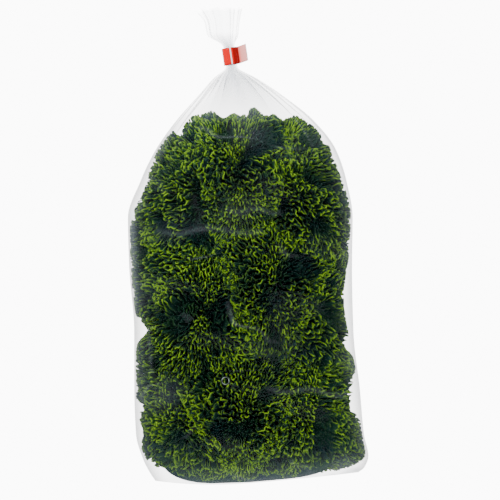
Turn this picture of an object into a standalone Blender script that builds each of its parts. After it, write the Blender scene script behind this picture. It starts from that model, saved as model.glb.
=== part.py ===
# A bunch of curly kale leaves in a clear film bag, gathered at the neck and closed with red tape.
# It lies on its back: +Y runs from the bag's bottom seam to its mouth, +Z is up, and the
# origin is under the middle of the whole, on the surface that it rests on. Metres throughout.

import math

import bmesh
import bpy
import numpy as np
from mathutils import Matrix, Vector

MM = 0.001

# The bag, as laid down and filled, in millimetres: y, left edge, right edge, underside, top
BAG_STATIONS = (
    (-168.0, -66, 78, 12, 13.5),
    (-163.0, -69, 82, 4, 34),
    (-152.0, -74, 84.5, 0, 56),
    (-132.0, -79, 81, -1, 75),
    (-100.0, -80, 78, -1.5, 85),
    (-60.0, -80, 73.5, -1.5, 89),
    (-15.0, -83.5, 72.5, -1.5, 88),
    (20.0, -84.5, 73, -1.5, 84),
    (45.0, -76, 69, -1, 76),
    (67.0, -65.5, 62, 0, 66),
    (88.0, -51, 46.5, 3, 52),
    (106.0, -35.5, 24.5, 8, 37),
    (119.0, -24, 5, 13, 26),
    (126.5, -16.2, -7.6, 16.2, 21.8),
    (134.0, -17.1, -8.5, 16.2, 21.8),
    (141.5, -18.4, -9.8, 16.2, 21.8),
    (149.0, -29.0, -7.5, 13, 25),
    (159.0, -31, -6.5, 11, 27),
    (168.7, -36, -4.8, 9, 29),
)
BAG_COLUMNS = 32
FILM_WALL = 0.6 * MM
ROUND_TOP = 2.4  # superellipse power of the section's upper half, which bulges
ROUND_UNDER = 3.2  # and of its lower half, which the surface flattens
WAIST = 0.45  # height of the widest line, as a share of the section
SEAM_SLOPE, SEAM_BOW, SEAM_FADE = 0.08, 1.6, (-168 * MM, -118 * MM)
PLEATS = ((60, 0), (88, 0.035), (106, 0.07), (119, 0.1), (126.5, 0), (141.5, 0), (149, 0.1), (168.7, 0.12))

# The tape round the neck, with the half width and half height of its loop, and the tab where its
# two ends stick together
TAPE_WIDTH = 12 * MM
TAPE_Y = 134 * MM
TAPE_TILT = math.radians(8.5)
TAPE_WALL = 0.5 * MM
TAPE_HOLE = (5.0 * MM, 3.5 * MM)
TAB_LENGTH = 6.7 * MM
TAB_WALL = 0.7 * MM
TAB_RISE = 0.2  # how far the tab skews towards the mouth, as a share of its length
TAPE_STEPS = 28

# The leaves' own room inside the film
KALE_LOW, KALE_HIGH = -164.0 * MM, 93.0 * MM
FILM_CLEAR = 2.3 * MM
END_POWER = 20.0

# Leaves: rings of them round the bag's middle, each ring turned half a step from the next
RING_Y = (-123 * MM, -38 * MM, 46 * MM)
RING_TURN = (30.0, 0.0, 30.0)
LEAVES_ROUND = 6
RING_HALF_WIDTH, RING_HALF_HEIGHT = 50 * MM, 21 * MM
CORE = (34 * MM, 84 * MM)  # half width and half length of the flat heart that leaves face away from
CORE_Z = 41 * MM
ZIGZAG, SPREAD = 10 * MM, 6 * MM
LEAF_GAP = 1.8 * MM
SEED = 11

# One leaf
LOBES = 7
MARGIN_STEP, BAND_STEP, FLOOR_STEP = 3.3 * MM, 5.0 * MM, 3.6 * MM
SPINE_SHARE, SPINE_MOST, SPINE_NODES = 0.6, 32 * MM, 7
EDGE_STEPS = 56
WIDEST = 2.0  # radians off the way that the leaf faces
CURL = 4.0 * MM
BLADE, RIB = 0.9 * MM, 4.0 * MM


def smooth_through(stations, at):
    """Values of each column of the stations at the given places, on curves that don't overshoot."""
    table = np.asarray(stations, float)
    x, y = table[:, 0], table[:, 1:]
    gap = np.diff(x)[:, None]
    rise = np.diff(y, axis=0) / gap
    slope = np.zeros_like(y)
    same_way = rise[1:] * rise[:-1] > 0
    slope[1:-1][same_way] = (2 * rise[1:] * rise[:-1])[same_way] / (rise[1:] + rise[:-1])[same_way]
    slope[0], slope[-1] = rise[0], rise[-1]
    at = np.clip(np.asarray(at, float), x[0], x[-1])
    k = np.clip(np.searchsorted(x, at) - 1, 0, len(x) - 2)
    w = gap[k]
    t = ((at - x[k])[:, None]) / w
    return (
        y[k] * (1 + 2 * t) * (1 - t) ** 2
        + slope[k] * w * t * (1 - t) ** 2
        + y[k + 1] * t * t * (3 - 2 * t)
        + slope[k + 1] * w * t * t * (t - 1)
    )


def section(y):
    """Middle, half width, waist height and the heights above and below it of the bag at each y."""
    left, right, low, high = (smooth_through(BAG_STATIONS, np.asarray(y) / MM) * MM).T
    waist = low + WAIST * (high - low)
    return (left + right) / 2, (right - left) / 2, waist, high - waist, waist - low


def power(value, exponent):
    return np.sign(value) * np.abs(value) ** exponent


def seam_shift(x, y):
    """How far the slanting, bowed bottom seam moves a point along Y."""
    fade = np.clip((SEAM_FADE[1] - y) / (SEAM_FADE[1] - SEAM_FADE[0]), 0, 1)
    return fade**2 * (SEAM_SLOPE * x + SEAM_BOW * x * x)


def new_object(name, mesh, collection, material):
    obj = bpy.data.objects.new(name, mesh)
    collection.objects.link(obj)
    obj.data.materials.append(material)
    return obj


def mesh_from(name, points, faces):
    mesh = bpy.data.meshes.new(name)
    mesh.from_pydata([tuple(map(float, p)) for p in points], [], [tuple(map(int, f)) for f in faces])
    mesh.update()
    return mesh


def make_material(name, colour, roughness, alpha=1.0):
    material = bpy.data.materials.new(name)
    material.use_nodes = True
    shader = material.node_tree.nodes["Principled BSDF"]
    shader.inputs["Base Color"].default_value = (*colour, 1)
    shader.inputs["Roughness"].default_value = roughness
    shader.inputs["Metallic"].default_value = 0
    shader.inputs["Alpha"].default_value = alpha
    return material


def add_modifier(obj, kind, **settings):
    modifier = obj.modifiers.new(kind.title(), kind)
    for key, value in settings.items():
        setattr(modifier, key, value)
    return modifier


def make_bag(collection, material):
    """The film: one loft from the bottom seam, over the kale, through the neck to the open mouth."""
    rows = np.array([station[0] for station in BAG_STATIONS]) * MM
    middle, half, waist, above, below = section(rows)
    pleats = smooth_through(PLEATS, rows / MM)[:, 0]
    angle = 2 * math.pi * np.arange(BAG_COLUMNS) / BAG_COLUMNS
    cos, sin = np.cos(angle), np.sin(angle)
    upper = sin >= 0
    reach = np.where(np.arange(BAG_COLUMNS) % 2, 1.0, -1.0)
    points = []
    for i, y in enumerate(rows):
        fold = 1 + pleats[i] * reach
        x = power(cos, 2 / ROUND_TOP) * fold * half[i]
        z = np.where(
            upper,
            power(sin, 2 / ROUND_TOP) * above[i],
            power(sin, 2 / ROUND_UNDER) * below[i],
        )
        x = middle[i] + x
        z = np.maximum(waist[i] + z * fold, 0)
        points += list(np.column_stack([x, y + seam_shift(x, y), z]))
    faces = []
    for i in range(len(rows) - 1):
        for k in range(BAG_COLUMNS):
            a, b = i * BAG_COLUMNS + k, i * BAG_COLUMNS + (k + 1) % BAG_COLUMNS
            faces.append((a, a + BAG_COLUMNS, b + BAG_COLUMNS, b))
    half_way = BAG_COLUMNS // 2
    for k in range(half_way):  # the seam joins the upper film to the lower
        faces.append((k, k + 1, (BAG_COLUMNS - k - 1) % BAG_COLUMNS, (BAG_COLUMNS - k) % BAG_COLUMNS))
    faces = [tuple(dict.fromkeys(f)) for f in faces]
    obj = new_object("bag_film", mesh_from("bag_film", points, faces), collection, material)
    triangulated(obj.data)
    add_modifier(obj, "SOLIDIFY", thickness=FILM_WALL, offset=-1)
    obj.data.shade_smooth()
    return obj


def triangulated(mesh):
    work = bmesh.new()
    work.from_mesh(mesh)
    bmesh.ops.recalc_face_normals(work, faces=work.faces)
    bmesh.ops.triangulate(work, faces=work.faces)
    work.to_mesh(mesh)
    work.free()


def make_tape(collection, material):
    """Red tape wrapped once round the neck, its ends stuck to each other in a tab."""
    curve = bpy.data.curves.new("neck_tape", "CURVE")
    curve.dimensions = "2D"
    curve.fill_mode = "BOTH"
    curve.extrude = TAPE_WIDTH / 2
    outer = (TAPE_HOLE[0] + TAPE_WALL, TAPE_HOLE[1] + TAPE_WALL)
    start = math.asin(TAB_WALL / 2 / outer[1])
    turn = np.linspace(start, 2 * math.pi - start, TAPE_STEPS)
    outline = [(outer[0] * math.cos(t), outer[1] * math.sin(t)) for t in turn]
    end = outer[0] + TAB_LENGTH
    outline += [(end, -TAB_WALL / 2), (end, TAB_WALL / 2)]
    hole_turn = 2 * math.pi * np.arange(TAPE_STEPS) / TAPE_STEPS
    hole = [(TAPE_HOLE[0] * math.cos(t), TAPE_HOLE[1] * math.sin(t)) for t in hole_turn]
    for ring in (outline, hole):
        spline = curve.splines.new("POLY")
        spline.points.add(len(ring) - 1)
        spline.use_cyclic_u = True
        for point, (x, z) in zip(spline.points, ring):
            point.co = (x, z, 0, 1)
    flat = bpy.data.objects.new("tape_outline", curve)
    collection.objects.link(flat)
    bpy.context.view_layer.update()
    mesh = bpy.data.meshes.new_from_object(flat.evaluated_get(bpy.context.evaluated_depsgraph_get()))
    bpy.data.objects.remove(flat)
    middle, _, waist, above, below = section([TAPE_Y])
    centre = Vector((middle[0], TAPE_Y, waist[0] + (above[0] - below[0]) / 2))
    work = bmesh.new()
    work.from_mesh(mesh)
    bmesh.ops.remove_doubles(work, verts=work.verts, dist=1e-6)
    for vertex in work.verts:  # the tab swings up towards the mouth
        past = max(vertex.co.x - outer[0], 0)
        vertex.co.z -= TAB_RISE * past
    turned = Matrix.Rotation(TAPE_TILT, 4, "Z") @ Matrix.Rotation(math.radians(90), 4, "X")
    bmesh.ops.transform(work, matrix=Matrix.Translation(centre) @ turned, verts=work.verts)
    work.to_mesh(mesh)
    work.free()
    triangulated(mesh)
    mesh.name = "neck_tape"
    return new_object("neck_tape", mesh, collection, material)


def inside_film(points):
    """True for each point that is in the leaves' room."""
    x, y, z = points.T
    row = y
    for _ in range(6):  # the row that the seam's slant carried here
        row = y - seam_shift(x, row)
    middle, half, waist, above, below = section(row)
    wide = np.abs(x - middle) / np.maximum(half - FILM_CLEAR, 1e-6)
    rise = z - waist
    tall = np.where(
        rise > 0,
        np.abs(rise) / np.maximum(above - FILM_CLEAR, 1e-6),
        np.abs(rise) / np.maximum(np.minimum(below, waist) - FILM_CLEAR, 1e-6),
    )
    bend = np.where(rise > 0, ROUND_TOP, ROUND_UNDER)
    y_mid, y_half = (KALE_LOW + KALE_HIGH) / 2, (KALE_HIGH - KALE_LOW) / 2
    along = np.abs(row - y_mid) / y_half
    return wide**bend + tall**bend + along**END_POWER < 1


def leaf_seeds():
    """The middle of each leaf's share of the room, and the way that it faces."""
    draw = np.random.default_rng(SEED)
    seeds, facing = [], []
    for y, turn in zip(RING_Y, RING_TURN):
        middle = section([y])[0]
        for k in range(LEAVES_ROUND):
            angle = math.radians(turn + 360 * k / LEAVES_ROUND)
            seed = np.array([
                middle[0] + RING_HALF_WIDTH * math.cos(angle),
                y + (ZIGZAG if k % 2 else -ZIGZAG),
                CORE_Z + RING_HALF_HEIGHT * math.sin(angle),
            ])
            seed += draw.uniform(-SPREAD, SPREAD, 3) * (1, 1.5, 0.5)
            centre = (KALE_LOW + KALE_HIGH) / 2
            heart = np.array([
                np.clip(seed[0], -CORE[0], CORE[0]),
                np.clip(seed[1], centre - CORE[1], centre + CORE[1]),
                CORE_Z,
            ])
            seeds.append(seed)
            facing.append((seed - heart) / np.linalg.norm(seed - heart))
    return np.array(seeds), np.array(facing)


class LeafRoom:
    """The convex share of the bag that one leaf fills, and its own axes."""

    def __init__(self, index, seeds, facing, draw):
        here = seeds[index]
        others = np.delete(seeds, index, axis=0) - here
        away = np.linalg.norm(others, axis=1)
        self.normals = others / away[:, None]
        self.limits = self.normals @ here + away / 2 - LEAF_GAP / 2
        self.out = facing[index]
        tipward = 1 if index >= LEAVES_ROUND else -1
        along = np.array([draw.uniform(-0.6, 0.6), tipward, 0.0])
        along -= along @ self.out * self.out
        self.along = along / np.linalg.norm(along)
        self.across = np.cross(self.along, self.out)
        back = self.reach(here[None], -self.out[None])[0]
        self.heart = here - self.out * (back - 5 * MM)
        room = [self.reach(self.heart[None], way * self.along[None])[0] for way in (-1, 1)]
        self.spine = [min(far * SPINE_SHARE, SPINE_MOST) for far in room]
        self.edges = self.find_edges()

    def reach(self, start, way, film_too=True):
        """How far each point can go its way before it meets the next leaf's share or the film."""
        slope = way @ self.normals.T
        room = self.limits - start @ self.normals.T
        far = np.where(slope > 1e-9, room / np.maximum(slope, 1e-9), 1.0).min(axis=1)
        if not film_too:
            return far
        low, high = np.zeros(len(start)), np.minimum(far, 0.3)
        for _ in range(20):
            half_way = (low + high) / 2
            fits = inside_film(start + way * half_way[:, None])
            low, high = np.where(fits, half_way, low), np.where(fits, high, half_way)
        return np.minimum(far, low + 1e-6)

    def ray(self, turn, lean):
        """Where a ray leaves the midrib and its way: turned about the leaf's facing, leant off it."""
        side, tip = np.cos(turn) * lean, np.sin(turn) * lean
        stop = np.where(tip < 0, self.spine[0], self.spine[1]) * np.clip(tip / 0.9, -1, 1)
        flat = np.outer(side, self.across) + np.outer(tip, self.along)
        flat /= np.maximum(lean, 1e-9)[:, None]
        aim = np.outer(np.cos(lean), self.out) + flat * np.sin(lean)[:, None]
        return self.heart + np.outer(stop, self.along), aim

    def find_edges(self):
        """How far off its facing the leaf reaches before its share of the film ends, all round."""
        turn = 2 * math.pi * np.arange(EDGE_STEPS) / EDGE_STEPS
        low, high = np.full(EDGE_STEPS, 0.1), np.full(EDGE_STEPS, WIDEST)
        for _ in range(14):
            middle = (low + high) / 2
            start, aim = self.ray(turn, middle)
            on_film = self.reach(start, aim) < self.reach(start, aim, film_too=False) - 1e-6
            low, high = np.where(on_film, middle, low), np.where(on_film, high, middle)
        return (low + np.roll(low, 1) + np.roll(low, -1)) / 3

    def edge(self, turn):
        turns = np.linspace(0, 2 * math.pi, EDGE_STEPS + 1)
        return np.interp(turn % (2 * math.pi), turns, [*self.edges, self.edges[0]])

    def place(self, turn, lean, depth):
        """Points in space: depth 0 on the midrib, 1 on the leaf's outer face."""
        start, aim = self.ray(turn, lean)
        return start + aim * (self.reach(start, aim) * depth)[:, None]


def stitched(inner, outer):
    """Triangles between two rings of point numbers, each given with its turn in 0..1."""
    (a, turn_a), (b, turn_b) = inner, outer
    faces, i, j = [], 0, 0
    while i < len(a) or j < len(b):
        next_a = turn_a[i + 1] if i + 1 < len(a) else 1 + turn_a[0]
        next_b = turn_b[j + 1] if j + 1 < len(b) else 1 + turn_b[0]
        if j == len(b) or (i < len(a) and next_a < next_b):
            faces.append((a[i], a[(i + 1) % len(a)], b[j % len(b)]))
            i += 1
        else:
            faces.append((b[(j + 1) % len(b)], b[j], a[i % len(a)]))
            j += 1
    return faces


def spine_ring(room):
    """The midrib's points, taken up one side and down the other as the blade's inmost ring."""
    steps = np.linspace(-1, 1, SPINE_NODES)
    stops = np.where(steps < 0, steps * room.spine[0], steps * room.spine[1])
    numbers = [*range(SPINE_NODES - 1), *range(SPINE_NODES - 1, 0, -1)]
    half_turn = 0.5 * (np.arange(SPINE_NODES - 1) + 0.5) / (SPINE_NODES - 1)
    return room.heart + np.outer(stops, room.along), (numbers, [*half_turn, *(half_turn + 0.5)])


def blade_ring(room, draw, step, depth, sinus, tip, margin):
    """One ring of the blade round its midrib, and the turn of each point."""

    def placed(turn):
        angle = 2 * math.pi * turn - math.pi / 2
        lobe = 0.5 - 0.5 * np.cos(2 * math.pi * LOBES * turn)
        lean = room.edge(angle) * (sinus + (tip - sinus) * lobe**0.8)
        by_stalk = np.clip(np.minimum(turn, 1 - turn) / 0.06, 0, 1)
        return angle, lean, depth * (0.6 + 0.4 * by_stalk) * (0.9 + 0.1 * lobe)

    fine = np.linspace(0, 1, 721)
    gaps = np.linalg.norm(np.diff(room.place(*placed(fine)), axis=0), axis=1)
    along = np.concatenate([[0], np.cumsum(gaps)])
    number = 2 * round(along[-1] / step / 2)
    turn = np.interp((np.arange(number) + 0.5) / number * along[-1], along, fine)
    angle, lean, heights = placed(turn)
    if margin:
        curl = CURL * draw.uniform(0.7, 1.15, number) * (np.arange(number) % 2)
        heights = heights - curl / room.reach(*room.ray(angle, lean))
    return room.place(angle, lean, heights), turn


def make_leaf(name, room, draw, collection, material):
    """A leaf: a thin blade that rises from its thick midrib to a lobed, curled margin."""
    spine, ring = spine_ring(room)
    rings, points = [ring], [spine]
    for step, depth, sinus, tip, margin in (
        (FLOOR_STEP, 0.4, 0.36, 0.42, False),
        (BAND_STEP, 0.72, 0.58, 0.78, False),
        (MARGIN_STEP, 1.0, 0.76, 1.0, True),
    ):
        first = sum(len(p) for p in points)
        placed, turn = blade_ring(room, draw, step, depth, sinus, tip, margin)
        points.append(placed)
        rings.append((list(range(first, first + len(placed))), turn))
    faces = [face for inner, outer in zip(rings, rings[1:]) for face in stitched(inner, outer)]
    leaf = new_object(name, mesh_from(name, np.vstack(points), faces), collection, material)
    triangulated(leaf.data)
    leaf.vertex_groups.new(name="rib").add(list(range(SPINE_NODES)), 1.0, "REPLACE")
    add_modifier(
        leaf, "SOLIDIFY", thickness=RIB, offset=0, vertex_group="rib", thickness_vertex_group=BLADE / RIB
    )
    leaf.data.shade_smooth()
    return leaf


def main():
    for obj in list(bpy.data.objects):
        bpy.data.objects.remove(obj)
    collection = bpy.data.collections.new("kale_bunch")
    bpy.context.scene.collection.children.link(collection)
    film = make_material("clear_film", (0.93, 0.94, 0.94), 0.18, alpha=0.2)
    tape = make_material("red_tape", (0.80, 0.05, 0.02), 0.3)
    kale = make_material("kale_leaf", (0.12, 0.2, 0.04), 0.6)
    make_bag(collection, film)
    make_tape(collection, tape)
    seeds, facing = leaf_seeds()
    for index in range(len(seeds)):
        draw = np.random.default_rng([SEED, index])
        room = LeafRoom(index, seeds, facing, draw)
        make_leaf(f"kale_leaf_{index + 1:02d}", room, draw, collection, kale)


main()
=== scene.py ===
import math

import bpy
import numpy as np
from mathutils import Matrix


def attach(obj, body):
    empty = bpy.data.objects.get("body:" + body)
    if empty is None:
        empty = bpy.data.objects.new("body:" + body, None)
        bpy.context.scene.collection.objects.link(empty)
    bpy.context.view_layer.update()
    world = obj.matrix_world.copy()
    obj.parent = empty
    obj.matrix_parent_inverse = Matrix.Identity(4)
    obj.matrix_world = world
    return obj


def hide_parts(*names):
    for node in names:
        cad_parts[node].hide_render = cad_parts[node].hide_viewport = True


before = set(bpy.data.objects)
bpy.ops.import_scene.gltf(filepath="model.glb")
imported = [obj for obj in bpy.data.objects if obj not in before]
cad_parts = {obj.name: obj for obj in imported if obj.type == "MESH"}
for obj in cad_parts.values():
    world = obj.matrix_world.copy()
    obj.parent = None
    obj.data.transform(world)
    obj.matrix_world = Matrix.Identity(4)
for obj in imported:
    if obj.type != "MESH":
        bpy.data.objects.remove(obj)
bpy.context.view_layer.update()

# Floor, light and camera
# The bag lies on a plain white sheet under soft lamps, and the camera looks straight down on it.
# The sheet is shown near white, by a glow that only the camera sees and that lights nothing.
MM = 0.001
SHEET_GLOW, SKY_LIGHT = 11.0, 1.6


def linear(colour):
    """A colour written as sRGB hex, turned linear."""
    parts = [int(colour[i : i + 2], 16) / 255 for i in (1, 3, 5)]
    return [p / 12.92 if p <= 0.04045 else ((p + 0.055) / 1.055) ** 2.4 for p in parts] + [1.0]


def new_material(name):
    made = bpy.data.materials.new(name)
    made.use_nodes = True
    made.node_tree.nodes.clear()
    return made


def node(material, kind, links=(), **settings):
    """Adds a shader node: settings by attribute or socket name, links as (socket, source)."""
    made = material.node_tree.nodes.new(kind)
    sockets = {s.name.lower(): s for s in made.inputs}
    for key, value in settings.items():
        if hasattr(made, key):
            setattr(made, key, value)
        else:
            sockets[key.replace("_", " ").lower()].default_value = value
    for socket, source in links:
        material.node_tree.links.new(source, made.inputs[socket])
    return made


def mesh_object(name, points, faces, material):
    mesh = bpy.data.meshes.new(name)
    mesh.from_pydata(np.asarray(points, float).tolist(), [], [list(map(int, f)) for f in faces])
    mesh.update()
    made = bpy.data.objects.new(name, mesh)
    bpy.context.scene.collection.objects.link(made)
    mesh.materials.append(material)
    mesh.shade_smooth()
    return made


def point_values(made, name, values):
    """Stores one value per point for the shader."""
    layer = made.data.attributes.new(name, "FLOAT", "POINT")
    layer.data.foreach_set("value", np.asarray(values, np.float32))


sheet_paint = new_material("white_paper")
shine = node(sheet_paint, "ShaderNodeBsdfPrincipled", Base_Color=linear("#FAFAFA"), Roughness=0.75)
glow = node(sheet_paint, "ShaderNodeEmission", Color=(1, 1, 1, 1), Strength=SHEET_GLOW)
seen = node(sheet_paint, "ShaderNodeLightPath")
lit = node(sheet_paint, "ShaderNodeMixShader", [("Fac", seen.outputs["Is Camera Ray"])])
sheet_paint.node_tree.links.new(shine.outputs[0], lit.inputs[1])
sheet_paint.node_tree.links.new(glow.outputs[0], lit.inputs[2])
node(sheet_paint, "ShaderNodeOutputMaterial", links=[("Surface", lit.outputs[0])])
corners = [(-2, -2, 0), (2, -2, 0), (2, 2, 0), (-2, 2, 0)]
floor = mesh_object("paper_floor", corners, [(0, 1, 2, 3)], sheet_paint)

world = bpy.data.worlds.new("studio")
bpy.context.scene.world = world
world.use_nodes = True
world.node_tree.nodes["Background"].inputs["Color"].default_value = (1, 1, 1, 1)
world.node_tree.nodes["Background"].inputs["Strength"].default_value = SKY_LIGHT


def lamp(name, spot, size, power):
    light = bpy.data.lights.new(name, "AREA")
    light.shape = "RECTANGLE"
    light.size, light.size_y = size
    light.energy = power
    holder = bpy.data.objects.new(name, light)
    bpy.context.scene.collection.objects.link(holder)
    holder.location = spot
    aim = -np.array(spot)
    yaw, tilt = math.atan2(aim[0], -aim[1]), math.acos(-aim[2] / np.linalg.norm(aim))
    holder.rotation_euler = (tilt, 0, yaw)


lamp("key", (-0.7, 0.75, 1.1), (0.9, 0.5), 120)
lamp("fill", (0.9, 0.1, 0.9), (0.5, 1.2), 36)
lamp("low", (0.0, -1.0, 0.7), (1.2, 0.4), 19)

camera = bpy.data.objects.new("camera", bpy.data.cameras.new("camera"))
bpy.context.scene.collection.objects.link(camera)
bpy.context.scene.camera = camera
CAMERA_HEIGHT, SEEN = 2.2, 0.350  # in metres; SEEN is the width that the picture shows
AIM = (1.05 * MM, -2.8 * MM, 39 * MM)
camera.location = (AIM[0], AIM[1], AIM[2] + CAMERA_HEIGHT)
camera.data.lens = camera.data.sensor_width * CAMERA_HEIGHT / SEEN
camera.data.clip_end = 20


# Room for the leaves
# The filled film tube lies flattened by its own weight, and each leaf fills a share of it. The same
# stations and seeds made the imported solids, so each leaf here stays where its solid is.
BAG_STATIONS = (  # y, left, right, low and high, in mm
    (-168.0, -66, 78, 12, 13.5),
    (-163.0, -69, 82, 4, 34),
    (-152.0, -74, 84.5, 0, 56),
    (-132.0, -79, 81, -1, 75),
    (-100.0, -80, 78, -1.5, 85),
    (-60.0, -80, 73.5, -1.5, 89),
    (-15.0, -83.5, 72.5, -1.5, 88),
    (20.0, -84.5, 73, -1.5, 84),
    (45.0, -76, 69, -1, 76),
    (67.0, -65.5, 62, 0, 66),
    (88.0, -51, 46.5, 3, 52),
    (106.0, -35.5, 24.5, 8, 37),
    (119.0, -24, 5, 13, 26),
    (126.5, -16.2, -7.6, 16.2, 21.8),
    (134.0, -17.1, -8.5, 16.2, 21.8),
    (141.5, -18.4, -9.8, 16.2, 21.8),
    (149.0, -29.0, -7.5, 13, 25),
    (159.0, -31, -6.5, 11, 27),
    (168.7, -36, -4.8, 9, 29),
)
ROUND_TOP, ROUND_UNDER = 2.4, 3.2  # powers of the upper and the lower half's outline
WAIST = 0.45  # where the bag is widest, as a share of its height
SEAM_SLOPE, SEAM_FADE = 0.08, (-168 * MM, -118 * MM)
SEAM_BOWS = (1.6, 0.25)  # the seam's left end is drawn up more than its right end
KALE_LOW, KALE_HIGH, END_POWER = -166.5 * MM, 94.0 * MM, 26.0
FILM_CLEAR = 1.0 * MM  # between the film and the curls
OVERLAP = 5.0 * MM  # how far each leaf's curls reach past its share, among its neighbours'
RING_Y, RING_TURN = (-123 * MM, -38 * MM, 46 * MM), (30.0, 0.0, 30.0)
LEAVES_ROUND, SEED = 6, 11
SEED_OUT, SEED_UP, SEED_STAGGER = 50 * MM, 21 * MM, 10 * MM
SEED_LOOSE = 6 * MM
HEART_X, HEART_Y, HEART_Z = 34 * MM, 84 * MM, 41 * MM  # how far the bunch's heart reaches
DENTS = (  # where the leaves stand back from the film: side, y, how long and how deep, in mm
    (-1, -59, 7, 8),
    (-1, 38, 16, 4),
    (-1, -130, 9, 4),
    (1, -38, 26, 5),
    (1, -112, 7, 7),
    (1, -70, 5, 4),
    (1, 60, 20, 3),
)


def smooth_through(stations, at):
    table = np.asarray(stations, float)
    x, y = table[:, 0], table[:, 1:]
    gap = np.diff(x)[:, None]
    rise = np.diff(y, axis=0) / gap
    slope = np.zeros_like(y)
    same_way = rise[1:] * rise[:-1] > 0
    slope[1:-1][same_way] = (2 * rise[1:] * rise[:-1])[same_way] / (rise[1:] + rise[:-1])[same_way]
    slope[0], slope[-1] = rise[0], rise[-1]
    at = np.clip(np.asarray(at, float), x[0], x[-1])
    k = np.clip(np.searchsorted(x, at) - 1, 0, len(x) - 2)
    w = gap[k]
    t = ((at - x[k])[:, None]) / w
    return (
        y[k] * (1 + 2 * t) * (1 - t) ** 2
        + slope[k] * w * t * (1 - t) ** 2
        + y[k + 1] * t * t * (3 - 2 * t)
        + slope[k + 1] * w * t * t * (t - 1)
    )


def section(y):
    left, right, low, high = (smooth_through(BAG_STATIONS, np.asarray(y) / MM) * MM).T
    waist = low + WAIST * (high - low)
    return (left + right) / 2, (right - left) / 2, waist, high - waist, waist - low


def seam_shift(x, y):
    fade = np.clip((SEAM_FADE[1] - y) / (SEAM_FADE[1] - SEAM_FADE[0]), 0, 1)
    return fade**2 * (SEAM_SLOPE * x + np.where(x < 0, *SEAM_BOWS) * x * x)


def inside_film(points):
    x, y, z = points.T
    row = y
    for _ in range(6):
        row = y - seam_shift(x, row)
    middle, half, waist, above, below = section(row)
    dent = 0.0
    for side, at, long, deep in DENTS:
        near = np.exp(-(((row / MM - at) / long) ** 2))
        dent = dent + (side * (x - middle) > 0) * deep * MM * near
    wide = np.abs(x - middle) / np.maximum(half - FILM_CLEAR - dent, 1e-6)
    rise = z - waist
    tall = np.where(
        rise > 0,
        np.abs(rise) / np.maximum(above - FILM_CLEAR, 1e-6),
        np.abs(rise) / np.maximum(np.minimum(below, waist) - FILM_CLEAR, 1e-6),
    )
    bend = np.where(rise > 0, ROUND_TOP, ROUND_UNDER)
    y_mid, y_half = (KALE_LOW + KALE_HIGH) / 2, (KALE_HIGH - KALE_LOW) / 2
    ragged = 2.4 * MM * np.sin(x / (5.6 * MM) + 1.0) + 1.6 * MM * np.sin(x / (2.3 * MM))
    along = np.abs(row - y_mid) / (y_half + np.where(row > y_mid, ragged, 0))
    return wide**bend + tall**bend + along**END_POWER < 1


def leaf_seeds():
    draw = np.random.default_rng(SEED)
    seeds, facing = [], []
    for y, turn in zip(RING_Y, RING_TURN):
        middle = section([y])[0][0]
        for k in range(LEAVES_ROUND):
            angle = math.radians(turn + 360 * k / LEAVES_ROUND)
            seed = np.array([
                middle + SEED_OUT * math.cos(angle),
                y + (SEED_STAGGER if k % 2 else -SEED_STAGGER),
                HEART_Z + SEED_UP * math.sin(angle),
            ])
            seed += draw.uniform(-SEED_LOOSE, SEED_LOOSE, 3) * (1, 1.5, 0.5)
            centre = (KALE_LOW + KALE_HIGH) / 2
            heart = np.array([
                np.clip(seed[0], -HEART_X, HEART_X),
                np.clip(seed[1], centre - HEART_Y, centre + HEART_Y),
                HEART_Z,
            ])
            seeds.append(seed)
            facing.append((seed - heart) / np.linalg.norm(seed - heart))
    return np.array(seeds), np.array(facing)


EDGE_STEPS, ARC_STEPS = 72, 30
SPINE_SHARE, SPINE_MOST = 0.6, 32 * MM  # how much of its room, and how long, half a midrib is
PAST_EDGE = 1.04  # the plan of the outer face reaches this little past its edge
LEAST_DEPTH = 0.1  # of the room's depth, which a sunk point keeps


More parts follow.
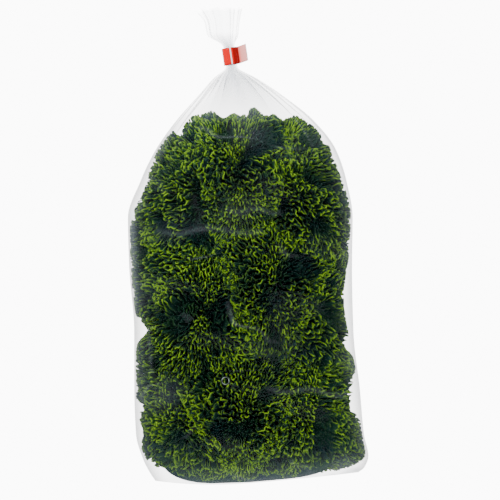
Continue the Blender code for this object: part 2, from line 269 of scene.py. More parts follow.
class LeafRoom:
    """The share of the bag that one leaf fills, its axes, and a plan of its outer face in mm."""

    def __init__(self, index, seeds, facing, draw):
        here = seeds[index]
        others = np.delete(seeds, index, axis=0) - here
        away = np.linalg.norm(others, axis=1)
        self.normals = others / away[:, None]
        self.limits = self.normals @ here + away / 2 + OVERLAP
        self.out = facing[index]
        tipward = 1 if index >= LEAVES_ROUND else -1
        along = np.array([draw.uniform(-0.6, 0.6), tipward, 0.0])
        along -= along @ self.out * self.out
        self.along = along / np.linalg.norm(along)
        self.across = np.cross(self.along, self.out)
        back = self.reach(here[None], -self.out[None])[0]
        self.heart = here - self.out * (back - 5 * MM)
        room = [self.reach(self.heart[None], way * self.along[None])[0] for way in (-1, 1)]
        self.spine = [min(far * SPINE_SHARE, SPINE_MOST) for far in room]
        self.turns = 2 * math.pi * np.arange(EDGE_STEPS) / EDGE_STEPS
        self.edges = self.find_edges()
        self.arcs = self.find_arcs()

    def reach(self, start, way, film_too=True):
        slope = way @ self.normals.T
        room = self.limits - start @ self.normals.T
        far = np.where(slope > 1e-9, room / np.maximum(slope, 1e-9), 1.0).min(axis=1)
        if not film_too:
            return far
        low, high = np.zeros(len(start)), np.minimum(far, 0.3)
        for _ in range(15):
            half_way = (low + high) / 2
            fits = inside_film(start + way * half_way[:, None])
            low, high = np.where(fits, half_way, low), np.where(fits, high, half_way)
        return np.minimum(far, low + 1e-6)

    def ray(self, turn, lean):
        side, tip = np.cos(turn) * lean, np.sin(turn) * lean
        stop = np.where(tip < 0, self.spine[0], self.spine[1]) * np.clip(tip / 0.9, -1, 1)
        flat = np.outer(side, self.across) + np.outer(tip, self.along)
        flat /= np.maximum(lean, 1e-9)[:, None]
        aim = np.outer(np.cos(lean), self.out) + flat * np.sin(lean)[:, None]
        return self.heart + np.outer(stop, self.along), aim

    def find_edges(self):
        low, high = np.full(EDGE_STEPS, 0.1), np.full(EDGE_STEPS, 2.0)
        for _ in range(12):
            middle = (low + high) / 2
            start, aim = self.ray(self.turns, middle)
            on_film = self.reach(start, aim) < self.reach(start, aim, film_too=False) - 1e-6
            low, high = np.where(on_film, middle, low), np.where(on_film, high, middle)
        return (low + np.roll(low, 1) + np.roll(low, -1)) / 3

    def find_arcs(self):
        """Distance in mm over the outer face, along each turn, to each step of lean."""
        share = np.linspace(0, 1, ARC_STEPS)
        lean = np.maximum(np.outer(self.edges * PAST_EDGE, share), 1e-6)
        start, aim = self.ray(np.repeat(self.turns, ARC_STEPS), lean.ravel())
        spots = start + aim * self.reach(start, aim)[:, None]
        spots = spots.reshape(EDGE_STEPS, ARC_STEPS, 3)
        steps = np.linalg.norm(np.diff(spots, axis=1), axis=2)
        arcs = np.concatenate([np.zeros((EDGE_STEPS, 1)), np.cumsum(steps, axis=1)], axis=1) / MM
        return (arcs + np.roll(arcs, 1, axis=0) + np.roll(arcs, -1, axis=0)) / 3

    def edge(self, turn):
        """Distance in mm over the outer face from its middle to its edge."""
        turns, arcs = [*self.turns, 2 * math.pi], [*self.arcs[:, -1], self.arcs[0, -1]]
        return np.interp(turn % (2 * math.pi), turns, arcs)

    def face(self, plan, below, inward=0.0):
        """Plan points put on the outer face, then sunk below it by mm or drawn to the midrib."""
        turn = np.arctan2(plan[:, 1], plan[:, 0]) % (2 * math.pi)
        arc = np.linalg.norm(plan, axis=1)
        at = turn / (2 * math.pi) * EDGE_STEPS
        first = np.floor(at).astype(int) % EDGE_STEPS
        part = at - np.floor(at)
        lean = np.zeros(len(plan))
        for number, weight in ((first, 1 - part), ((first + 1) % EDGE_STEPS, part)):
            table = self.arcs[number]
            k = np.clip((table < arc[:, None]).sum(axis=1) - 1, 0, ARC_STEPS - 2)
            rows = np.arange(len(plan))
            gap = table[rows, k + 1] - table[rows, k]
            part_step = np.clip((arc - table[rows, k]) / np.maximum(gap, 1e-6), 0, 1)
            share = (k + part_step) / (ARC_STEPS - 1)
            lean += weight * share * self.edges[number] * PAST_EDGE
        start, aim = self.ray(turn, np.maximum(lean, 1e-6))
        far = self.reach(start, aim)
        depth = np.maximum(far - below * MM, far * LEAST_DEPTH) * (1 - inward)
        return start + aim * depth[:, None]


# Kale leaves
# Each leaf is a lobed blade whose margin grows much longer than its midrib, so it buckles into
# tight curls. The blade stands up from the midrib, and its margin ends just under the film. The
# margin is pale, partly the leaf's own paler edge and partly a painted highlight on the curls'
# tops, and the deeper rows keep the dark colours as a painted shade.
GRID, CELL = 192, 0.8  # the grid that holds how crowded the margin is, and its cell in mm
PITCH, STEP = 4.2, 1.1  # from fold to fold and from point to point, in mm
CROWDED = 1.3  # where the margin is more crowded than this, it doesn't lengthen
GROWTH_STEPS, GROWTH_RATE, MOST_POINTS = 240, 0.022, 4600
LOBES, YOUNG_SIZE, YOUNG_LOBE = 7, 0.26, 0.16  # of the young leaf, as shares of its room
BLUR, PUSH, PUSH_MOST = 0.36, 0.05, 0.6  # how the folds keep each other off
PULL, SMOOTHING, SHAKE = 0.22, 0.14, 0.06  # how the margin springs, straightens and wavers
SPLIT, MERGE = 1.35, 0.45  # lengths, in steps, at which a stretch is split or taken out
EDGE_GAP, EDGE_GIVE = 0.8, 0.3  # the margin turns back this far, in mm, inside the room's edge
ROWS_KEPT = (0.0, 0.18, 0.48, 0.70, 0.87, 0.975, 1.0)
ROWS_BELOW = (None, 24, 16.5, 10.5, 5.6, 1.5, 0.0)  # in mm below the face
# how much of the pale rim colour each row takes: none in the deep rows, which stay dark as a
# painted shade, and all at the margin, partly its own paler edge and partly a painted highlight
ROW_PALE_RIM_AND_LIGHT = (0, 0, 0, 0, 0.02, 0.26, 1.0)
ROW_RUFFLE = (0, 0, 0, 0, 0.15, 0.7, 0.95)
ROW_THIN = (1, 1, 3, 3, 3, 1, 1)  # the hidden rows keep one point in three
FIRST_ROW_IN = 0.62  # how far the first row is drawn to the midrib
SPINE_NODES, BLADE_THICK, RIM_SHARE = 12, 3.0 * MM, 0.24
LEAF_WAVES = (  # shortest, longest and number of the waves that shape and mark a leaf
    (26, 60, 9),  # hollows
    (9, 18, 12),  # knobs
    (3.5, 7, 24),  # fine crumples
    (2.6, 5.5, 24),  # gaps in the pale rim
)
HOLLOW_DEEP, KNOB_DEEP, FINE_DEEP, EDGE_DEEP = 7.5, 3.2, 4.0, 1.2  # in mm
RUFFLE_STEP = (0.9, 2.3)  # how far a ruffle turns from point to point, in radians



def crowding(points, blur):
    """How crowded the margin is around each of its points, and the way to more room."""
    at = np.clip(points / CELL + GRID / 2, 1, GRID - 3)
    low = np.floor(at).astype(int)
    part = at - low
    weights = [
        ((dx, dy), np.abs(1 - dx - part[:, 0]) * np.abs(1 - dy - part[:, 1]))
        for dx in (0, 1)
        for dy in (0, 1)
    ]
    flat = np.zeros(GRID * GRID)
    for (dx, dy), weight in weights:
        flat += np.bincount((low[:, 0] + dx) * GRID + low[:, 1] + dy, weight, GRID * GRID)
    field = np.fft.irfft2(np.fft.rfft2(flat.reshape(GRID, GRID)) * blur, s=(GRID, GRID))
    field *= STEP * PITCH / CELL**2
    slopes = [np.roll(field, -1, way) - np.roll(field, 1, way) for way in (0, 1)]

    def read(grid):
        return sum(grid[low[:, 0] + dx, low[:, 1] + dy] * w for (dx, dy), w in weights)

    return read(field), -np.column_stack([read(s) for s in slopes]) / (2 * CELL)


def inserted(points, turn, after):
    middle = (points[after] + np.roll(points, -1, axis=0)[after]) / 2
    following = np.append(turn[1:], turn[0] + 1)
    return (
        np.insert(points, after + 1, middle, axis=0),
        np.insert(turn, after + 1, (turn[after] + following[after]) / 2),
    )


def grown_margin(room, draw):
    """Rings of plan points, from the young outline to the curled margin, each with its turns."""
    k, r = np.fft.fftfreq(GRID, CELL), np.fft.rfftfreq(GRID, CELL)
    blur = np.exp(-2 * (math.pi * PITCH * BLUR) ** 2 * (k[:, None] ** 2 + r[None, :] ** 2))
    turn = (np.arange(90) + 0.5) / 90
    angle = 2 * math.pi * turn - math.pi / 2
    lobe = 0.5 - 0.5 * np.cos(2 * math.pi * LOBES * turn)
    size = room.edge(angle) * (YOUNG_SIZE + YOUNG_LOBE * lobe)
    points = np.column_stack([np.cos(angle), np.sin(angle)]) * size[:, None]
    rings = [(points, turn)]
    wanted = {round(share * GROWTH_STEPS) for share in ROWS_KEPT[1:]}
    for step in range(1, GROWTH_STEPS + 1):
        crowd, push = crowding(points, blur)
        strength = np.linalg.norm(push, axis=1)
        pushed = np.minimum(PUSH * PITCH**2 * strength, PUSH_MOST)
        push *= (pushed / np.maximum(strength, 1e-9))[:, None]
        ahead = np.roll(points, -1, axis=0) - points
        length = np.linalg.norm(ahead, axis=1)
        pull = ahead * ((length - STEP) / np.maximum(length, 1e-9) * PULL)[:, None]
        smooth = (np.roll(points, -1, axis=0) + np.roll(points, 1, axis=0)) / 2 - points
        points = points + push + pull - np.roll(pull, 1, axis=0) + SMOOTHING * smooth
        points += draw.normal(0, SHAKE, points.shape)
        out = np.linalg.norm(points, axis=1)
        edge = room.edge(np.arctan2(points[:, 1], points[:, 0])) - EDGE_GAP
        points *= (np.where(out > edge, edge + (out - edge) * EDGE_GIVE, out) / out)[:, None]
        length = np.linalg.norm(np.roll(points, -1, axis=0) - points, axis=1)
        grows = (draw.random(len(points)) < GROWTH_RATE) & (crowd < CROWDED)
        grows = (grows | (length > SPLIT * STEP)) & (len(points) < MOST_POINTS)
        points, turn = inserted(points, turn, np.nonzero(grows)[0])
        length = np.linalg.norm(np.roll(points, -1, axis=0) - points, axis=1)
        short = np.nonzero(length[:-1] < MERGE * STEP)[0]
        short = short[np.insert(np.diff(short) > 1, 0, True)] if len(short) else short
        points, turn = np.delete(points, short + 1, axis=0), np.delete(turn, short + 1)
        if step in wanted:
            rings.append((points, turn))
    return rings


def waves(draw, shortest, longest, number):
    """A smooth random field over the plan, about -1 to 1, from plane waves of the lengths given."""
    ways = draw.uniform(0, 2 * math.pi, number)
    sizes = 2 * math.pi / draw.uniform(shortest, longest, number)
    starts = draw.uniform(0, 2 * math.pi, number)
    vectors = np.column_stack([np.cos(ways), np.sin(ways)]) * sizes[:, None]
    return lambda plan: np.sin(plan @ vectors.T + starts).sum(axis=1) * 1.4 / math.sqrt(number)


def stitched(inner, outer):
    """Triangles between two closed rings, each a list of points and their turns from 0 to 1."""
    (a, turn_a), (b, turn_b) = inner, outer
    faces, i, j = [], 0, 0
    while i < len(a) or j < len(b):
        next_a = turn_a[i + 1] if i + 1 < len(a) else 1 + turn_a[0]
        next_b = turn_b[j + 1] if j + 1 < len(b) else 1 + turn_b[0]
        if j == len(b) or (i < len(a) and next_a < next_b):
            faces.append((a[i], a[(i + 1) % len(a)], b[j % len(b)]))
            i += 1
        else:
            faces.append((b[(j + 1) % len(b)], b[j], a[i % len(a)]))
            j += 1
    return faces


def kale_leaf(number, room, draw, material):
    """One leaf: a ring round its midrib, then the margin's rings from young to grown."""
    last_node = SPINE_NODES - 1
    nodes = np.linspace(-1, 1, SPINE_NODES)
    stops = np.where(nodes < 0, nodes * room.spine[0], nodes * room.spine[1])
    points = [room.heart + np.outer(stops, room.along)]
    half_turn = 0.5 * (np.arange(last_node) + 0.5) / last_node
    there_and_back = [*range(last_node), *range(last_node, 0, -1)]
    rings = [(there_and_back, np.concatenate([half_turn, half_turn + 0.5]))]
    pale_rim_and_light = [np.zeros(SPINE_NODES)]
    hollow, knob, fine, broken = [waves(draw, *sizes) for sizes in LEAF_WAVES]
    margin = [(plan[::n], turn[::n]) for (plan, turn), n in zip(grown_margin(room, draw), ROW_THIN)]
    last = margin[-1][1]
    phase = np.cumsum(draw.uniform(*RUFFLE_STEP, len(last)))
    for (plan, turn), below, tip, ruffle in zip(margin, ROWS_BELOW, ROW_PALE_RIM_AND_LIGHT, ROW_RUFFLE):
        first = sum(len(p) for p in points)
        if ruffle:
            ahead = np.roll(plan, -1, axis=0) - np.roll(plan, 1, axis=0)
            ahead /= np.maximum(np.linalg.norm(ahead, axis=1), 1e-6)[:, None]
            swing = ruffle * np.sin(np.interp(turn, last, phase))
            plan = plan + np.column_stack([ahead[:, 1], -ahead[:, 0]]) * swing[:, None]
        near_edge = np.linalg.norm(plan, axis=1) / room.edge(np.arctan2(plan[:, 1], plan[:, 0]))
        sunk = (
            HOLLOW_DEEP * np.clip(hollow(plan) - 0.25, 0, 1)
            + KNOB_DEEP * np.clip(knob(plan) + 0.1, 0, 1.2)
            + FINE_DEEP * np.clip(fine(plan), 0, 1)
            + EDGE_DEEP * np.clip((near_edge - 0.85) / 0.15, 0, 1) ** 2
        )
        if below is None:
            placed = room.face(plan, np.zeros(len(plan)), FIRST_ROW_IN)
        else:
            placed = room.face(plan, below + sunk)
        points.append(placed)
        # The rim's pale colour fades where the margin sinks deeper below the film, a painted shade
        # of the hollows
        sunk_shade = np.clip(1.15 - sunk / 8, 0.08, 1)
        pale_rim_and_light.append(tip * sunk_shade * np.clip(0.92 + 0.78 * broken(plan), 0.15, 1))
        rings.append((list(range(first, first + len(plan))), turn))
    faces = [face for inner, outer in zip(rings, rings[1:]) for face in stitched(inner, outer)]
    leaf = mesh_object(f"curly_leaf_{number:02d}", np.vstack(points), faces, material)
    point_values(leaf, "tip", np.concatenate(pale_rim_and_light))
    group = leaf.vertex_groups.new(name="rib")
    group.add(list(range(SPINE_NODES)), 1.0, "REPLACE")
    thick = leaf.modifiers.new("Blade", "SOLIDIFY")
    thick.thickness, thick.offset = BLADE_THICK, 0
    thick.vertex_group, thick.thickness_vertex_group = "rib", RIM_SHARE
    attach(leaf, "root")
    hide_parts(f"kale_leaf_{number:02d}")


kale_blade = new_material("kale_blade")
# Each point's share of the pale rim colour, which carries a painted highlight at the margin and a
# painted shade in the deep rows
tip = node(kale_blade, "ShaderNodeAttribute", attribute_name="tip")
place = node(kale_blade, "ShaderNodeTexCoord")
patches_from = [("Vector", place.outputs["Object"])]
patches = node(kale_blade, "ShaderNodeTexNoise", patches_from, Scale=45, Detail=3)
# The dark colours that the deeper rows take, darker than the leaf's own blue-green: a painted shade
dark_tones_and_shade = node(kale_blade, "ShaderNodeMix", [("Factor", patches.outputs["Fac"])], data_type="RGBA")
dark_tones_and_shade.inputs[6].default_value = linear("#13244A")
dark_tones_and_shade.inputs[7].default_value = linear("#24561C")
# The margin's pale colours, partly the leaf's paler edge and partly a painted highlight
pale_tones_and_highlight = node(kale_blade, "ShaderNodeMix", [("Factor", patches.outputs["Fac"])], data_type="RGBA")
pale_tones_and_highlight.inputs[6].default_value = linear("#649C14")
pale_tones_and_highlight.inputs[7].default_value = linear("#BEF43A")
thin_rim = node(kale_blade, "ShaderNodeMath", [(0, tip.outputs["Fac"])], operation="POWER")
thin_rim.inputs[1].default_value = 1.9
colour = node(kale_blade, "ShaderNodeMix", [("Factor", thin_rim.outputs[0])], data_type="RGBA")
kale_blade.node_tree.links.new(dark_tones_and_shade.outputs[2], colour.inputs[6])
kale_blade.node_tree.links.new(pale_tones_and_highlight.outputs[2], colour.inputs[7])
coat = node(kale_blade, "ShaderNodeBsdfPrincipled", [("Base Color", colour.outputs[2])])
coat.inputs["Roughness"].default_value = 0.5
coat.inputs["Specular IOR Level"].default_value = 0.06
node(kale_blade, "ShaderNodeOutputMaterial", links=[("Surface", coat.outputs[0])])

seeds, facing = leaf_seeds()
for index in range(len(seeds)):
    draw = np.random.default_rng([SEED, index])
    kale_leaf(index + 1, LeafRoom(index, seeds, facing, draw), draw, kale_blade)

# Inner leaves
# A few plainer leaves lie flat in the middle of the bunch, where the curly ones almost hide them.
# They have no pale rim and take the dark colours all over, a painted shade. The lowest is pressed
# down into the wedge of the bottom seam and shows there as a dark edge, a sheet that stands in for
# the shade there.
INNER_TURNS, INNER_RINGS, INNER_THICK = 48, 12, 0.8 * MM
SEAM_Y, SEAM_Z, SEAM_WEDGE = -168, 13, 40  # where the seam's wedge is, and how long, in mm
SIDE_GAP, WAVE_DEEP, LEAN_SHARE = 16, 5, 0.06
SQUARER = 0.42  # the lowest leaf's outline is squarer, to fill the corners of the seam
INNER_LEAVES = (  # y, z, half length and lean
    (-123, 39, 44, 0.2),
    (-78, 43, 33, -1),
    (-32, 38, 33, 1),
    (14, 42, 33, -1),
    (46, 37, 27, 1),
)


def grid_faces(rows, columns, rows_close=False, columns_close=False):
    """Four-sided faces over rows of points. The last row or column may close on the first."""
    faces = []
    for i in range(rows if rows_close else rows - 1):
        for k in range(columns if columns_close else columns - 1):
            near, far, after = i * columns, (i + 1) % rows * columns, (k + 1) % columns
            faces.append((near + k, near + after, far + after, far + k))
    return faces


for number, (y, z, long, lean) in enumerate(INNER_LEAVES, 1):
    draw = np.random.default_rng([SEED, 100 + number])
    wavy = waves(draw, 22, 50, 8)
    middle, half = [float(v[0]) / MM for v in section([y * MM])[:2]]
    turns = 2 * math.pi * np.arange(INNER_TURNS) / INNER_TURNS
    around, out = np.meshgrid(turns, np.linspace(0.02, 1, INNER_RINGS), indexing="ij")
    square = SQUARER if number == 1 else 1.0
    across = np.sign(np.cos(around)) * np.abs(np.cos(around)) ** square * out * (half - SIDE_GAP)
    along = np.sign(np.sin(around)) * np.abs(np.sin(around)) ** square * out * long
    flat = np.column_stack([across.ravel(), along.ravel()])
    pressed = np.clip((y + flat[:, 1] - SEAM_Y) / SEAM_WEDGE, 0, 1) ** 0.7
    above_seam = z - SEAM_Z + WAVE_DEEP * wavy(flat) + lean * flat[:, 0] * LEAN_SHARE
    rise = SEAM_Z + pressed * above_seam
    spots = np.column_stack([middle + flat[:, 0], y + flat[:, 1], rise]) * MM
    spots[:, 1] += seam_shift(spots[:, 0], spots[:, 1])
    faces = grid_faces(INNER_TURNS, INNER_RINGS, rows_close=True)
    # These leaves have no pale rim values, so they take the dark colours all over, a painted shade
    inner = mesh_object(f"inner_shade_leaf_{number:02d}", spots, faces, kale_blade)
    thick = inner.modifiers.new("Blade", "SOLIDIFY")
    thick.thickness, thick.offset = INNER_THICK, 0
    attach(inner, "root")

# Clear film bag
# A tube of thin clear film, sealed across its bottom and filled. It is tight over the leaves, is
# drawn into pleats where it is gathered at the neck, and its free mouth flares above the tape.
FILM_COLUMNS, FILM_ROW, MOUTH_Y = 224, 1.7, 168.7
MM_A_RADIAN = 50  # how much film goes round the bag for each radian, for the creases
draw = np.random.default_rng(5)
film_rows = [np.linspace(SEAM_Y, -160, 9), np.arange(-158, 167.5, FILM_ROW), [MOUTH_Y]]
film_rows = np.concatenate(film_rows)
film_turn = 2 * math.pi * np.arange(FILM_COLUMNS) / FILM_COLUMNS
PLEAT_FADE = (  # y in mm, and how deep the pleats are there, as a share of the film's width
    (40, 0.0),
    (70, 0.012),
    (90, 0.04),
    (106, 0.08),
    (117, 0.13),
    (126.5, 0.03),
    (141.5, 0.03),
    (149, 0.12),
    (MOUTH_Y, 0.15),
)
PLEATS = ((11, 0.8), (17, 0.7), (26, 0.5), (37, 0.3))  # how many go round, and their size


def pleats(turn, row):
    """Folds that run up the film, sharper on their ridges, drifting a little from row to row."""
    total = 0
    for (count, size), start, drift in zip(PLEATS, pleat_starts, pleat_drifts):
        along = count * turn + start + drift * row / 40
        total = total + size * (1 - 2 * np.abs(np.sin(along / 2)))
    return total


pleat_starts = draw.uniform(0, 6.28, len(PLEATS))
pleat_drifts = draw.uniform(-1.5, 1.5, len(PLEATS))
wrinkles = [waves(draw, 18, 50, 8), waves(draw, 6, 14, 14)]
hazes = waves(draw, 30, 90, 9)
middle, half, waist, above, below = section(film_rows * MM)
fade = smooth_through(PLEAT_FADE, film_rows)[:, 0]
gathered = np.clip((film_rows - 84) / 36, 0, 1) ** 1.5
film_points, haze_and_sheen, clear = [], [], []
WALL_CLEAR, SLACK_CLEARER = 0.685, 0.26  # how much light one wall passes, and more where slack
# White lines along the film's creases, partly the film's own milky veil and partly a painted
# highlight; they also pass a little less light
CREASE_LINES_VEIL_AND_HIGHLIGHT = (  # from x, y to x, y in mm, how wide and how dense
    (-62, 9.8, 8, 10.5, 1.7, 0.7),
    (-13, 24.5, 22, 23.5, 1.6, 0.7),
    (15, -98, 67, -102, 1.8, 1.0),
    (-69, -58, -67, -86, 1.5, 1.2),
    (72, 21, 71, -38, 1.6, 1.6),
    (30, -150, 48, -160, 1.6, 1.0),
    (-3, 82, 3, 80, 11, 0.7),
    (-60, -105, -56, -103, 9, 0.7),
    (66, -154, 69, -152, 8, 1.5),
    (-12, 20, -6, 24, 14, 0.35),
    (79, -72, 83, -118, 4, 6),
    (85, -124, 87, -150, 4, 8),
    (-82, 20, -80, -60, 3, 3),
    (60, -164, 84, -156, 3.5, 7),
    (20, -72, 26, -68, 12, 0.3),
)


def crease_veil_and_highlight(x, y):
    """How much the film's creases and loose patches veil each point, in mm from the middle: partly
    the film's own milky creases, partly a painted highlight along them.
    """
    total = 0
    for x0, y0, x1, y1, wide, dense in CREASE_LINES_VEIL_AND_HIGHLIGHT:
        run, rise = x1 - x0, y1 - y0
        along = np.clip(((x - x0) * run + (y - y0) * rise) / (run**2 + rise**2), 0, 1)
        off = np.hypot(x - x0 - along * run, y - y0 - along * rise + 1.5 * np.sin(9 * along))
        total = total + dense * np.exp(-((off / wide) ** 2))
    return total


for i, row in enumerate(film_rows):
    cos, sin = np.cos(film_turn), np.sin(film_turn)
    bend = np.where(sin > 0, ROUND_TOP, ROUND_UNDER)
    round_x = np.sign(cos) * np.abs(cos) ** (2 / bend)
    round_z = np.sign(sin) * np.abs(sin) ** (2 / bend)
    fold = 1 + fade[i] * pleats(film_turn, row) * (0.2 + 0.8 * np.abs(sin))
    girth = np.column_stack([film_turn * MM_A_RADIAN, np.full(FILM_COLUMNS, row)])
    creases = wrinkles[0](girth * (0.6, 1.2)) * 0.3 + wrinkles[1](girth * (0.7, 1.3)) * 0.06
    tight = np.clip((row - SEAM_Y) / 12, 0, 1) * np.clip((118 - row) / 20, 0, 1)
    x = middle[i] + round_x * half[i] * fold
    z = waist[i] + round_z * np.where(sin > 0, above[i], below[i]) * fold
    swell = creases * tight * MM
    z = z + swell * sin
    mouth = np.clip((row - 152) / 16.7, 0, 1) ** 2
    ragged_mouth = 0.5 * pleats(film_turn, row) - 1 - 3.5 * np.clip(-cos, 0, 1) ** 3
    y = row * MM + seam_shift(x, row * MM) + mouth * MM * ragged_mouth
    film_points.append(np.column_stack([x, y, np.maximum(z, 0.0002)]))
    patches = np.clip(hazes(np.column_stack([x / MM, 1.5 * y / MM])) - 0.5, 0, 1)
    crease_veil_and_glint = crease_veil_and_highlight(x / MM, y / MM) * np.clip(sin / 0.4, 0, 1) ** 1.5
    mouthward = np.clip((row - 141) / 10, 0, 1)
    slack = np.clip((row - 85) / 28, 0, 1) * (1 - 0.8 * np.abs(sin)) * (1 - mouthward) + mouthward
    pleated = 16 * np.abs(sin) ** 2 + 2.5 * pleats(film_turn, row)
    drawn = gathered[i] * (1 - 0.75 * mouthward) * pleated
    # Toward the bag's sides the film is painted hazier and passes less light: a painted sheen and
    # shade where it curves down
    edge = np.clip((np.abs(cos) - 0.80) / 0.18, 0, 1) ** 1.5 * np.clip((100 - row) / 25, 0, 1)
    haze_and_sheen.append(0.22 * patches + crease_veil_and_glint + drawn + edge)
    neck = 0.1 * gathered[i] * (1 - mouthward) * sin**2
    passed = WALL_CLEAR + SLACK_CLEARER * slack - neck - 0.028 * crease_veil_and_glint - 0.2 * edge
    clear.append(np.clip(passed, 0.25, 1))
film_faces = [
    (a, d, c, b) for a, b, c, d in grid_faces(len(film_rows), FILM_COLUMNS, columns_close=True)
]
for k in range(FILM_COLUMNS // 2):
    seam = (k, k + 1, (FILM_COLUMNS - k - 1) % FILM_COLUMNS, (FILM_COLUMNS - k) % FILM_COLUMNS)
    film_faces.append(tuple(dict.fromkeys(seam)))

clear_film = new_material("clear_plastic_film")
place = node(clear_film, "ShaderNodeTexCoord")
# The veil per point: random milky patches, gathered pleats, crease lines that are partly painted
# highlight, and a painted sheen at the sides
streaked = node(clear_film, "ShaderNodeAttribute", attribute_name="haze_and_sheen")
let_through = node(clear_film, "ShaderNodeAttribute", attribute_name="clear")
through = node(clear_film, "ShaderNodeBsdfTransparent", [("Color", let_through.outputs["Fac"])])
surface = node(clear_film, "ShaderNodeBsdfPrincipled", Roughness=0.45)
surface.inputs["Base Color"].default_value = linear("#DCE8F6")
surface.inputs["Specular IOR Level"].default_value = 1.0
turned = node(clear_film, "ShaderNodeLayerWeight", Blend=0.32)
steep = node(clear_film, "ShaderNodeMath", [(0, turned.outputs["Facing"])], operation="POWER")
steep.inputs[1].default_value = 2.2
body = node(clear_film, "ShaderNodeMath", [(0, steep.outputs[0])], operation="MULTIPLY_ADD")
body.inputs[1].default_value, body.inputs[2].default_value = 0.17, 0.0015
veil_from = [(0, streaked.outputs["Fac"]), (2, body.outputs[0])]
veil = node(clear_film, "ShaderNodeMath", veil_from, operation="MULTIPLY_ADD")
veil.inputs[1].default_value = 0.03
stretch = node(clear_film, "ShaderNodeMapping", [("Vector", place.outputs["Object"])])
stretch.inputs["Scale"].default_value = (9, 26, 9)
ridges = node(clear_film, "ShaderNodeTexNoise", [("Vector", stretch.outputs[0])], Scale=1, Detail=2)
off_line = node(clear_film, "ShaderNodeMath", [(0, ridges.outputs["Fac"])], operation="SUBTRACT")
off_line.inputs[1].default_value = 0.5
off_line = node(clear_film, "ShaderNodeMath", [(0, off_line.outputs[0])], operation="ABSOLUTE")
line = node(clear_film, "ShaderNodeMapRange", [("Value", off_line.outputs[0])])
areas_from = [("Vector", place.outputs["Object"])]
areas = node(clear_film, "ShaderNodeTexNoise", areas_from, Scale=22, Detail=1)
broken = node(clear_film, "ShaderNodeMapRange", [("Value", areas.outputs["Fac"])])
for ranged, values in ((line, (0.0, 0.02, 1.0, 0.0)), (broken, (0.5, 0.68, 0.0, 0.05))):
    for socket, value in zip(("From Min", "From Max", "To Min", "To Max"), values):
        ranged.inputs[socket].default_value = value
creased_from = [(0, line.outputs[0]), (1, broken.outputs[0]), (2, veil.outputs[0])]
creased = node(clear_film, "ShaderNodeMath", creased_from, operation="MULTIPLY_ADD")
both = node(clear_film, "ShaderNodeMixShader", [("Fac", creased.outputs[0])])
clear_film.node_tree.links.new(through.outputs[0], both.inputs[1])
clear_film.node_tree.links.new(surface.outputs[0], both.inputs[2])
node(clear_film, "ShaderNodeOutputMaterial", links=[("Surface", both.outputs[0])])

bag = mesh_object("film_bag", np.vstack(film_points), film_faces, clear_film)
point_values(bag, "haze_and_sheen", np.concatenate(haze_and_sheen))
point_values(bag, "clear", np.concatenate(clear))
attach(bag, "root")
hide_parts("bag_film")

# Air hole
# A hole about 5 mm across, punched through the upper film so that the bag can breathe. Its edge is
# a little thicker than the film and catches the light. Only the rim is shaped, on uncut film.
HOLE_TURNS, RIM_TURNS = 48, 8
HOLE_RADIUS, RIM_WIDE, RIM_HIGH, RIM_LIFT = 2.45, 0.2, 0.15, 0.1 * MM
hole_at = np.array([-15.8, -92.4]) * MM
hole_mid, hole_half, hole_waist, hole_above = [float(v[0]) for v in section([hole_at[1]])[:4]]
hole_side = (abs(hole_at[0] - hole_mid) / hole_half) ** ROUND_TOP
hole_top = hole_waist + hole_above * (1 - hole_side) ** (1 / ROUND_TOP)
rim_film = new_material("film_hole_rim")
place = node(rim_film, "ShaderNodeTexCoord")
scuffs_from = [("Vector", place.outputs["Object"])]
scuffs = node(rim_film, "ShaderNodeTexNoise", scuffs_from, Scale=500, Detail=2)
rim_tones = node(rim_film, "ShaderNodeMix", [("Factor", scuffs.outputs["Fac"])], data_type="RGBA")
rim_tones.inputs[6].default_value = linear("#2C3A34")
rim_tones.inputs[7].default_value = linear("#A8B4B4")
rim_shine = node(rim_film, "ShaderNodeBsdfPrincipled", [("Base Color", rim_tones.outputs[2])])
rim_shine.inputs["Roughness"].default_value = 0.25
node(rim_film, "ShaderNodeOutputMaterial", links=[("Surface", rim_shine.outputs[0])])
around, tube = np.meshgrid(
    2 * math.pi * np.arange(HOLE_TURNS) / HOLE_TURNS,
    2 * math.pi * np.arange(RIM_TURNS) / RIM_TURNS,
    indexing="ij",
)
swell = HOLE_RADIUS + RIM_WIDE * np.cos(tube) * (1 + 0.5 * np.sin(3 * around + 1))
hole_points = [swell * np.cos(around), swell * np.sin(around), RIM_HIGH * np.sin(tube)]
hole_points = np.stack(hole_points, axis=2).reshape(-1, 3) * MM
hole_points += (hole_at[0], hole_at[1], hole_top + RIM_LIFT)
hole_faces = [
    (a, d, c, b) for a, b, c, d in grid_faces(HOLE_TURNS, RIM_TURNS, True, True)
]
hole_rim = mesh_object("air_hole_rim", hole_points, hole_faces, rim_film)
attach(hole_rim, "root")

# Red closing tape
# A strip of glossy red tape wrapped once round the gathered neck. Its two ends are stuck together
# in a flat tab that stands out on the right, and the strip dips into a fold where the tab starts.
TAPE_TILT, TAPE_Y, TAPE_WIDE, TAPE_THICK = math.radians(8.5), 134, 12.0, 0.12 * MM
NECK_X, NECK_Z = 5.35, 3.9  # half the neck's width and height, in mm
UPPER_END = (  # x and z in mm, from the tab's end to the neck
    (12.1, 0.95),
    (11.0, 0.62),
    (9.6, 0.36),
    (8.0, 0.22),
    (6.8, 0.2),
    (6.0, 0.4),
    (5.2, 1.2),
)
LOWER_END = (  # and from the neck back to the tab's end
    (5.6, -0.7),
    (6.2, -0.3),
    (6.8, -0.2),
    (8.0, -0.2),
    (9.6, -0.06),
    (11.0, 0.2),
    (12.1, 0.53),
)
sweep = np.radians(np.linspace(40, 340, 60))
loop_x = NECK_X * np.cos(sweep) * (1 + 0.03 * np.sin(2 * sweep))
loop = np.column_stack([loop_x, NECK_Z * np.sin(sweep)])
strip = np.vstack([UPPER_END, loop, LOWER_END])
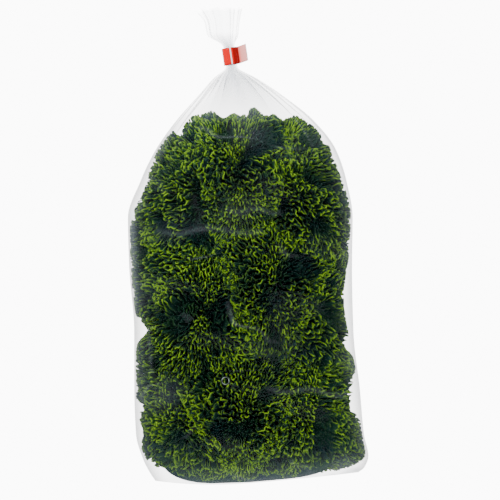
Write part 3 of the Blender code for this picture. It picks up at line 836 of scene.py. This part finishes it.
across = np.linspace(-0.5, 0.5, 9)
tape_points, colour_and_light_place = [], []
centre = section([TAPE_Y * MM])
for x, z in strip:
    skew = 0.2 * max(x - 5.6, 0)
    for step in across:
        lift = 0.06 * math.cos(step * math.pi)
        tape_points.append((x, step * TAPE_WIDE + skew, z * (1 + 0.03 * lift)))
        # Where each point sits along the strip, for the colours below; the underside in the middle
        # is moved off the painted glare line
        colour_and_light_place.append(x if z > 0 or not -1 < x < 2 else -1)
tilt_cos, tilt_sin = math.cos(TAPE_TILT), math.sin(TAPE_TILT)
tilt = np.array([[tilt_cos, -tilt_sin, 0], [tilt_sin, tilt_cos, 0], [0, 0, 1]])
tape_points = np.array(tape_points) @ tilt.T * MM
tape_points += (centre[0][0], TAPE_Y * MM, centre[2][0] + (centre[3][0] - centre[4][0]) / 2)
tape_faces = grid_faces(len(strip), len(across))
red_tape = new_material("glossy_red_tape")
along_strip = node(red_tape, "ShaderNodeAttribute", attribute_name="out")
reds_and_painted_light = node(red_tape, "ShaderNodeValToRGB", [("Fac", along_strip.outputs["Fac"])])
# Colours along the strip: a lighter red at the far left of the wrap, bright red on the wrap's front
# with a white painted glare line, a dark red painted shade on the fold where the tab starts, and a
# pale pink painted reflection on the tab, white at its end
for stop, tone in (
    (0.01, "#F0604C"),
    (0.06, "#D80400"),
    (0.315, "#D80400"),
    (0.325, "#FFFFFF"),
    (0.36, "#FFF8F6"),
    (0.37, "#D80400"),
    (0.42, "#CC0200"),
    (0.44, "#8C0000"),
    (0.65, "#8A0000"),
    (0.67, "#FF6A60"),
    (0.76, "#FFA096"),
    (0.97, "#FFACA4"),
):
    mark = reds_and_painted_light.color_ramp.elements.new(stop)
    mark.color = linear(tone)
gloss_coat = node(red_tape, "ShaderNodeBsdfPrincipled", [("Base Color", reds_and_painted_light.outputs["Color"])])
gloss_coat.inputs["Roughness"].default_value = 0.25
gloss_coat.inputs["Specular IOR Level"].default_value = 0.08
node(red_tape, "ShaderNodeOutputMaterial", links=[("Surface", gloss_coat.outputs[0])])
tape = mesh_object("closing_tape", tape_points, tape_faces, red_tape)
point_values(tape, "out", (np.array(colour_and_light_place) + 5.5) / 17.6)
thick = tape.modifiers.new("Strip", "SOLIDIFY")
thick.thickness, thick.offset = TAPE_THICK, 0
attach(tape, "root")
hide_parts("neck_tape")
